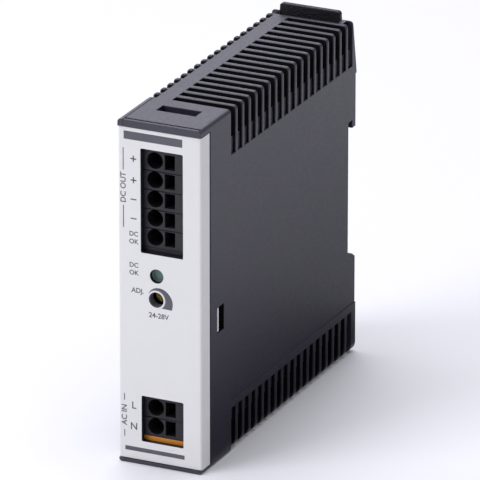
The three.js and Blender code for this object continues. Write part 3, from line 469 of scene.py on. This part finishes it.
def slider():
    """The latch slider: its tab well rounded, its parts inside the case hardly."""
    bm = tidy_copy("latch_slider")
    top = span("latch_slider", "Z")[1] / MM
    round_edges(bm, 0.8, lambda p, d, edge: p.z > top - 0.1 and abs(d.y) > 0.9, 3)
    round_edges(bm, 0.25, lambda p, d, edge: p.z > top - 0.9 and abs(d.y) < 0.5, 2)
    round_edges(bm, 0.35, lambda p, d, edge: p.z > ROOF and abs(d.z) > 0.9, 3)
    round_edges(bm, 0.12, lambda p, d, edge: p.z < ROOF - 3, 2, least=60)
    finished("slider_foot", bm, "latch_plastic", "latch", ("latch_slider",))


slider()

COIL = {"wire": 0.25, "turns": 8.5, "closed": 1.0, "clear": 0.02, "steps": 28, "sides": 10}


def coil():
    """The sprung coil under the slider: wound wire whose end turns lie flat."""
    low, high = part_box("latch_spring")
    wire = COIL["wire"] * MM
    radius = (high.x - low.x) / 2 - wire
    middle = (low + high) / 2
    turns, closed, sides = COIL["turns"], COIL["closed"], COIL["sides"]
    start, end = low.z + wire + COIL["clear"] * MM, high.z - wire - COIL["clear"] * MM
    flat = 2 * wire * 1.05  # rise of one closed turn
    bm = bmesh.new()
    rings = []
    for i in range(int(turns * COIL["steps"]) + 1):
        turn = i / COIL["steps"]
        run = min(max((turn - closed) / (turns - 2 * closed), 0), 1)
        z = start + flat * min(turn, closed) + (end - start - 2 * flat * closed) * run
        z += flat * max(turn - (turns - closed), 0)
        a = turn * math.tau
        out = Vector((math.cos(a), math.sin(a), 0))
        ring = []
        for k in range(sides):
            b = k / sides * math.tau
            core = Vector((middle.x, middle.y, z)) + out * radius
            outward, upward = out * (wire * math.cos(b)), Vector((0, 0, wire * math.sin(b)))
            ring.append(bm.verts.new(core + outward + upward))
        rings.append(ring)
    for first, second in zip(rings, rings[1:]):
        for k in range(sides):
            following = (k + 1) % sides
            bm.faces.new((first[k], first[following], second[following], second[k]))
    bm.faces.new(reversed(rings[0]))
    bm.faces.new(rings[-1])
    bmesh.ops.recalc_face_normals(bm, faces=bm.faces)
    made = finished("coil_spring", bm, "spring_steel", "case", ("latch_spring",))
    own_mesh(made)


coil()


# ---------------------------------------------------------------- print on the white front

PRINT_DEPTH = 0.012 * MM  # how far the print stands out of the face, and reaches into it
CAPITAL = 0.73  # a capital's height in Blender's own font, as a part of its size
BOLDER = 0.035  # the strokes are widened by this on each side


def lettering(text, x_mm, z_mm, height_mm, turned=False):
    """Letters centred at a place on the front, as mesh data; turned letters read upwards."""
    curve = bpy.data.curves.new("letters", "FONT")
    curve.body = text
    curve.size = height_mm / CAPITAL * MM
    curve.align_x, curve.align_y = "CENTER", "CENTER"
    curve.extrude = PRINT_DEPTH
    curve.offset = BOLDER * MM
    curve.resolution_u = 4
    holder = bpy.data.objects.new("letters", curve)
    mesh = bpy.data.meshes.new_from_object(holder)
    stand = Matrix.Rotation(math.radians(90), 4, "X")
    turn = Matrix.Rotation(math.radians(-90), 4, "Y") if turned else Matrix()
    mesh.transform(Matrix.Translation((x_mm * MM, PANEL_Y, z_mm * MM)) @ turn @ stand)
    bpy.data.objects.remove(holder)
    return mesh


def bar(x0, x1, z0, z1):
    """A printed stripe between two corners, as mesh data."""
    bm = bmesh.new()
    bmesh.ops.create_cube(bm, size=1)
    size = Vector(((x1 - x0) * MM, 2 * PRINT_DEPTH, (z1 - z0) * MM))
    middle = Vector(((x0 + x1) / 2 * MM, PANEL_Y, (z0 + z1) / 2 * MM))
    shape = Matrix.Translation(middle) @ Matrix.Diagonal((*size, 1))
    bmesh.ops.transform(bm, matrix=shape, verts=bm.verts)
    return as_mesh("bar", bm)


CRESCENT_OUTSIDE = [(148, 2.52), (117, 2.8), (86, 3.15), (40, 3.78), (-3, 4.45), (-27, 4.68)]
CRESCENT_INSIDE = {"radius": 2.47, "last": -54}  # angles are in degrees, from the right


def crescent():
    """The mark round the trimmer that grows clockwise, for less and more, as mesh data."""
    steps = 12
    outer = []
    for (a0, r0), (a1, r1) in zip(CRESCENT_OUTSIDE, CRESCENT_OUTSIDE[1:]):
        for i in range(steps):
            outer.append((a0 + (a1 - a0) * i / steps, r0 + (r1 - r0) * i / steps))
    outer.append(CRESCENT_OUTSIDE[-1])
    count = len(outer)
    first, last = CRESCENT_OUTSIDE[0][0], CRESCENT_INSIDE["last"]
    inner = [(first + (last - first) * i / (count - 1), CRESCENT_INSIDE["radius"])
             for i in range(count)]
    outer, inner = (
        [(r * math.cos(math.radians(a)), r * math.sin(math.radians(a))) for a, r in line]
        for line in (outer, inner))
    bm = bmesh.new()
    (fo, fi), (bo, bi) = (
        [[bm.verts.new((TRIMMER.x + u * MM, y, TRIMMER.z + v * MM)) for u, v in line]
         for line in (outer, inner)]
        for y in (PANEL_Y - PRINT_DEPTH, PANEL_Y + PRINT_DEPTH))  # front and back, outer and inner
    for i in range(count - 1):
        bm.faces.new((fo[i], fo[i + 1], fi[i + 1], fi[i]))
        bm.faces.new((bi[i], bi[i + 1], bo[i + 1], bo[i]))
        bm.faces.new((bo[i], bo[i + 1], fo[i + 1], fo[i]))
        bm.faces.new((fi[i], fi[i + 1], bi[i + 1], bi[i]))
    bm.faces.new((fo[0], fi[0], bi[0], bo[0]))
    bm.faces.new((fi[-1], fo[-1], bo[-1], bi[-1]))
    bmesh.ops.recalc_face_normals(bm, faces=bm.faces)
    return as_mesh("crescent", bm)


def sign(x, z, upright):
    """A minus, or a plus where there is an upright stroke."""
    half, thin = 0.8, 0.16
    strokes = [bar(x - half, x + half, z - thin, z + thin)]
    if upright:
        strokes.append(bar(x - thin, x + thin, z - half, z + half))
    return strokes


def side_label(text, x, above, below, clear, beyond):
    """Upright words between two terminals, with a line on to each of them."""
    middle, thin = (above + below) / 2, 0.12
    return [lettering(text, x, middle, 1.5, True),
            bar(x - thin, x + thin, middle + clear, above + beyond),
            bar(x - thin, x + thin, below - beyond, middle - clear)]


def front_print():
    """All the print in one piece: plain stripes, terminal signs, dial numbers and lamp labels."""
    left = LEFT_X / MM
    x_sign, x_side = left + 4.2, left + 1.45
    out = [TERMINALS[f"output_terminal_{i}"].z / MM for i in range(1, 6)]
    mains = [TERMINALS[f"input_terminal_{i}"].z / MM for i in (1, 2)]
    marks = [bar(left + 1.6, left + 17.4, 84.9, 87.0), bar(left + 1.6, left + 17.8, 3.2, 4.3)]
    for z, plus in zip(out, (True, True, False, False)):
        marks += sign(x_sign, z, plus)
    for z in (out[4], LAMP.z / MM + 1.0):
        marks += [lettering("DC", x_sign, z + 1.0, 1.25), lettering("OK", x_sign, z - 1.0, 1.25)]
    marks += [lettering("ADJ.", left + 5.2, TRIMMER.z / MM + 1.6, 1.3),
              lettering("24-28V", left + 10.9, TRIMMER.z / MM - 4.2, 1.35),
              lettering("L", left + 4.0, mains[0], 1.9),
              lettering("N", left + 4.0, mains[1], 1.9)]
    marks += side_label("DC OUT", x_side, out[0], out[3], 4.6, 2.6)
    marks += side_label("AC IN", x_side, mains[0], mains[1], 3.9, 2.9)
    marks.append(crescent())
    bm = bmesh.new()
    for mesh in marks:
        bm.from_mesh(mesh)
        bpy.data.meshes.remove(mesh)
    made = finished("front_print", bm, "panel_plastic", "case")
    dress(made, PRINT_INK)


front_print()


# ---------------------------------------------------------------- pieces with their CAD meshes

HARD_EDGE = 0.08
SOFT_EDGE = {"transformer_winding": 0.5, "choke_winding_1": 0.4, "choke_winding_2": 0.4,
             "output_choke_winding": 0.4, "varistor": 0.5, "y_capacitor": 0.5,
             "inrush_thermistor": 0.5}

for name, obj in NODES.items():
    if obj.hide_render:
        continue
    dress(obj, LOOKS[SLOT_OF[name]])
    weld = obj.modifiers.new("weld", "WELD")
    weld.merge_threshold = WELD * MM
    bevel = obj.modifiers.new("soft_edge", "BEVEL")
    bevel.width = SOFT_EDGE.get(name, HARD_EDGE) * MM
    bevel.segments = 2
    bevel.limit_method = "ANGLE"
    bevel.angle_limit = math.radians(40)


# ---------------------------------------------------------------- stage

CAMERA = {"azimuth": 25.273, "elevation": 21.027, "distance": 1.896552,
          "lens": 570.6, "sensor": 36}
AIM = Vector((0.0002, 0, 0.0443))
LIGHT_COLOUR = (0.97, 0.97, 1.06)
WORLD_STRENGTH = 0.32
LIGHTS = {  # direction, distance and size in metres, power in watts
    "key": ((-0.55, -0.75, 0.6), 1.0, 0.5, 4.08),
    "overhead": ((-0.1, 0.1, 1), 1.0, 0.8, 7.2),
    "rear": ((-0.4, 0.84, 0.38), 1.3, 1.0, 3.9),
}
FLOOR_HALF = 6
# painted shadow: black cards on the floor beside the unit, seen only in reflections, stand in for
# the floor's shade near it
SHADOW_CARD_NEAR_X, SHADOW_CARD_FRONT_Y = 0.0125, -0.09
PAINTED_SHADOW_CARDS = (  # far x, rear y, opacity and height of a pair of painted shadow cards, in metres
    (0.050, 0.068, 0.85, 0.0004),
    (0.095, 0.200, 0.50, 0.0002),
)


def place_camera():
    data = bpy.data.cameras.new("camera")
    data.lens = CAMERA["lens"]
    data.sensor_width = CAMERA["sensor"]
    data.clip_start, data.clip_end = 0.05, 20
    camera = placed("camera", data)
    a, e = math.radians(CAMERA["azimuth"]), math.radians(CAMERA["elevation"])
    back = Vector((math.sin(a) * math.cos(e), -math.cos(a) * math.cos(e), math.sin(e)))
    camera.location = AIM + back * CAMERA["distance"]
    camera.rotation_mode = "QUATERNION"
    camera.rotation_quaternion = (-back).to_track_quat("-Z", "Y")
    bpy.context.scene.camera = camera


def softbox(name, direction, distance, size, power):
    """A square area light that looks at the middle of the unit."""
    data = bpy.data.lights.new(name, "AREA")
    data.shape, data.size = "SQUARE", size
    data.energy, data.color = power, LIGHT_COLOUR
    lamp = placed(name, data)
    away = Vector(direction).normalized()
    lamp.location = AIM + away * distance
    lamp.rotation_mode = "QUATERNION"
    lamp.rotation_quaternion = away.to_track_quat("Z", "Y")
    lamp.visible_camera = False


def matt(name, grey, roughness, specular, alpha=1.0):
    """A plain matt material for the stage."""
    material, _, shader = new_material(name)
    shader.inputs["Base Color"].default_value = (grey, grey, grey, 1)
    shader.inputs["Roughness"].default_value = roughness
    shader.inputs["Specular IOR Level"].default_value = specular
    shader.inputs["Alpha"].default_value = alpha
    return material


def pale_floor():
    bm = bmesh.new()
    bmesh.ops.create_grid(bm, x_segments=1, y_segments=1, size=FLOOR_HALF)
    floor = placed("floor", as_mesh("floor", bm))
    dress(floor, matt("floor", 0.9, 0.9, 0.1))


def lay_painted_shadow_card(side, x1, y1, alpha, z):
    """A black card on the floor beside the unit, seen by reflections only: a painted shadow
    standing in for the floor's shade, so the wall darkens towards the bottom.
    """
    bm = bmesh.new()
    x0, y0 = SHADOW_CARD_NEAR_X, SHADOW_CARD_FRONT_Y
    corners = [(x0, y0), (x1, y0), (x1, y1), (x0, y1)]
    bm.faces.new([bm.verts.new((side * x, y, z)) for x, y in corners])
    painted_shadow_card = placed("painted_shadow_card", as_mesh("painted_shadow_card", bm))
    dress(painted_shadow_card, matt("painted_shadow_card", 0.01, 1, 0, alpha))
    painted_shadow_card.visible_camera = painted_shadow_card.visible_shadow = False
    painted_shadow_card.visible_diffuse = painted_shadow_card.visible_transmission = False


def studio():
    scene = bpy.context.scene
    scene.view_settings.view_transform = "Standard"
    world = bpy.data.worlds.new("studio")
    world.use_nodes = True
    background = world.node_tree.nodes["Background"]
    background.inputs["Color"].default_value = (*LIGHT_COLOUR, 1)
    background.inputs["Strength"].default_value = WORLD_STRENGTH
    scene.world = world
    for name, row in LIGHTS.items():
        softbox(name, *row)
    pale_floor()
    for side in (-1, 1):
        for row in PAINTED_SHADOW_CARDS:
            lay_painted_shadow_card(side, *row)


place_camera()
studio()
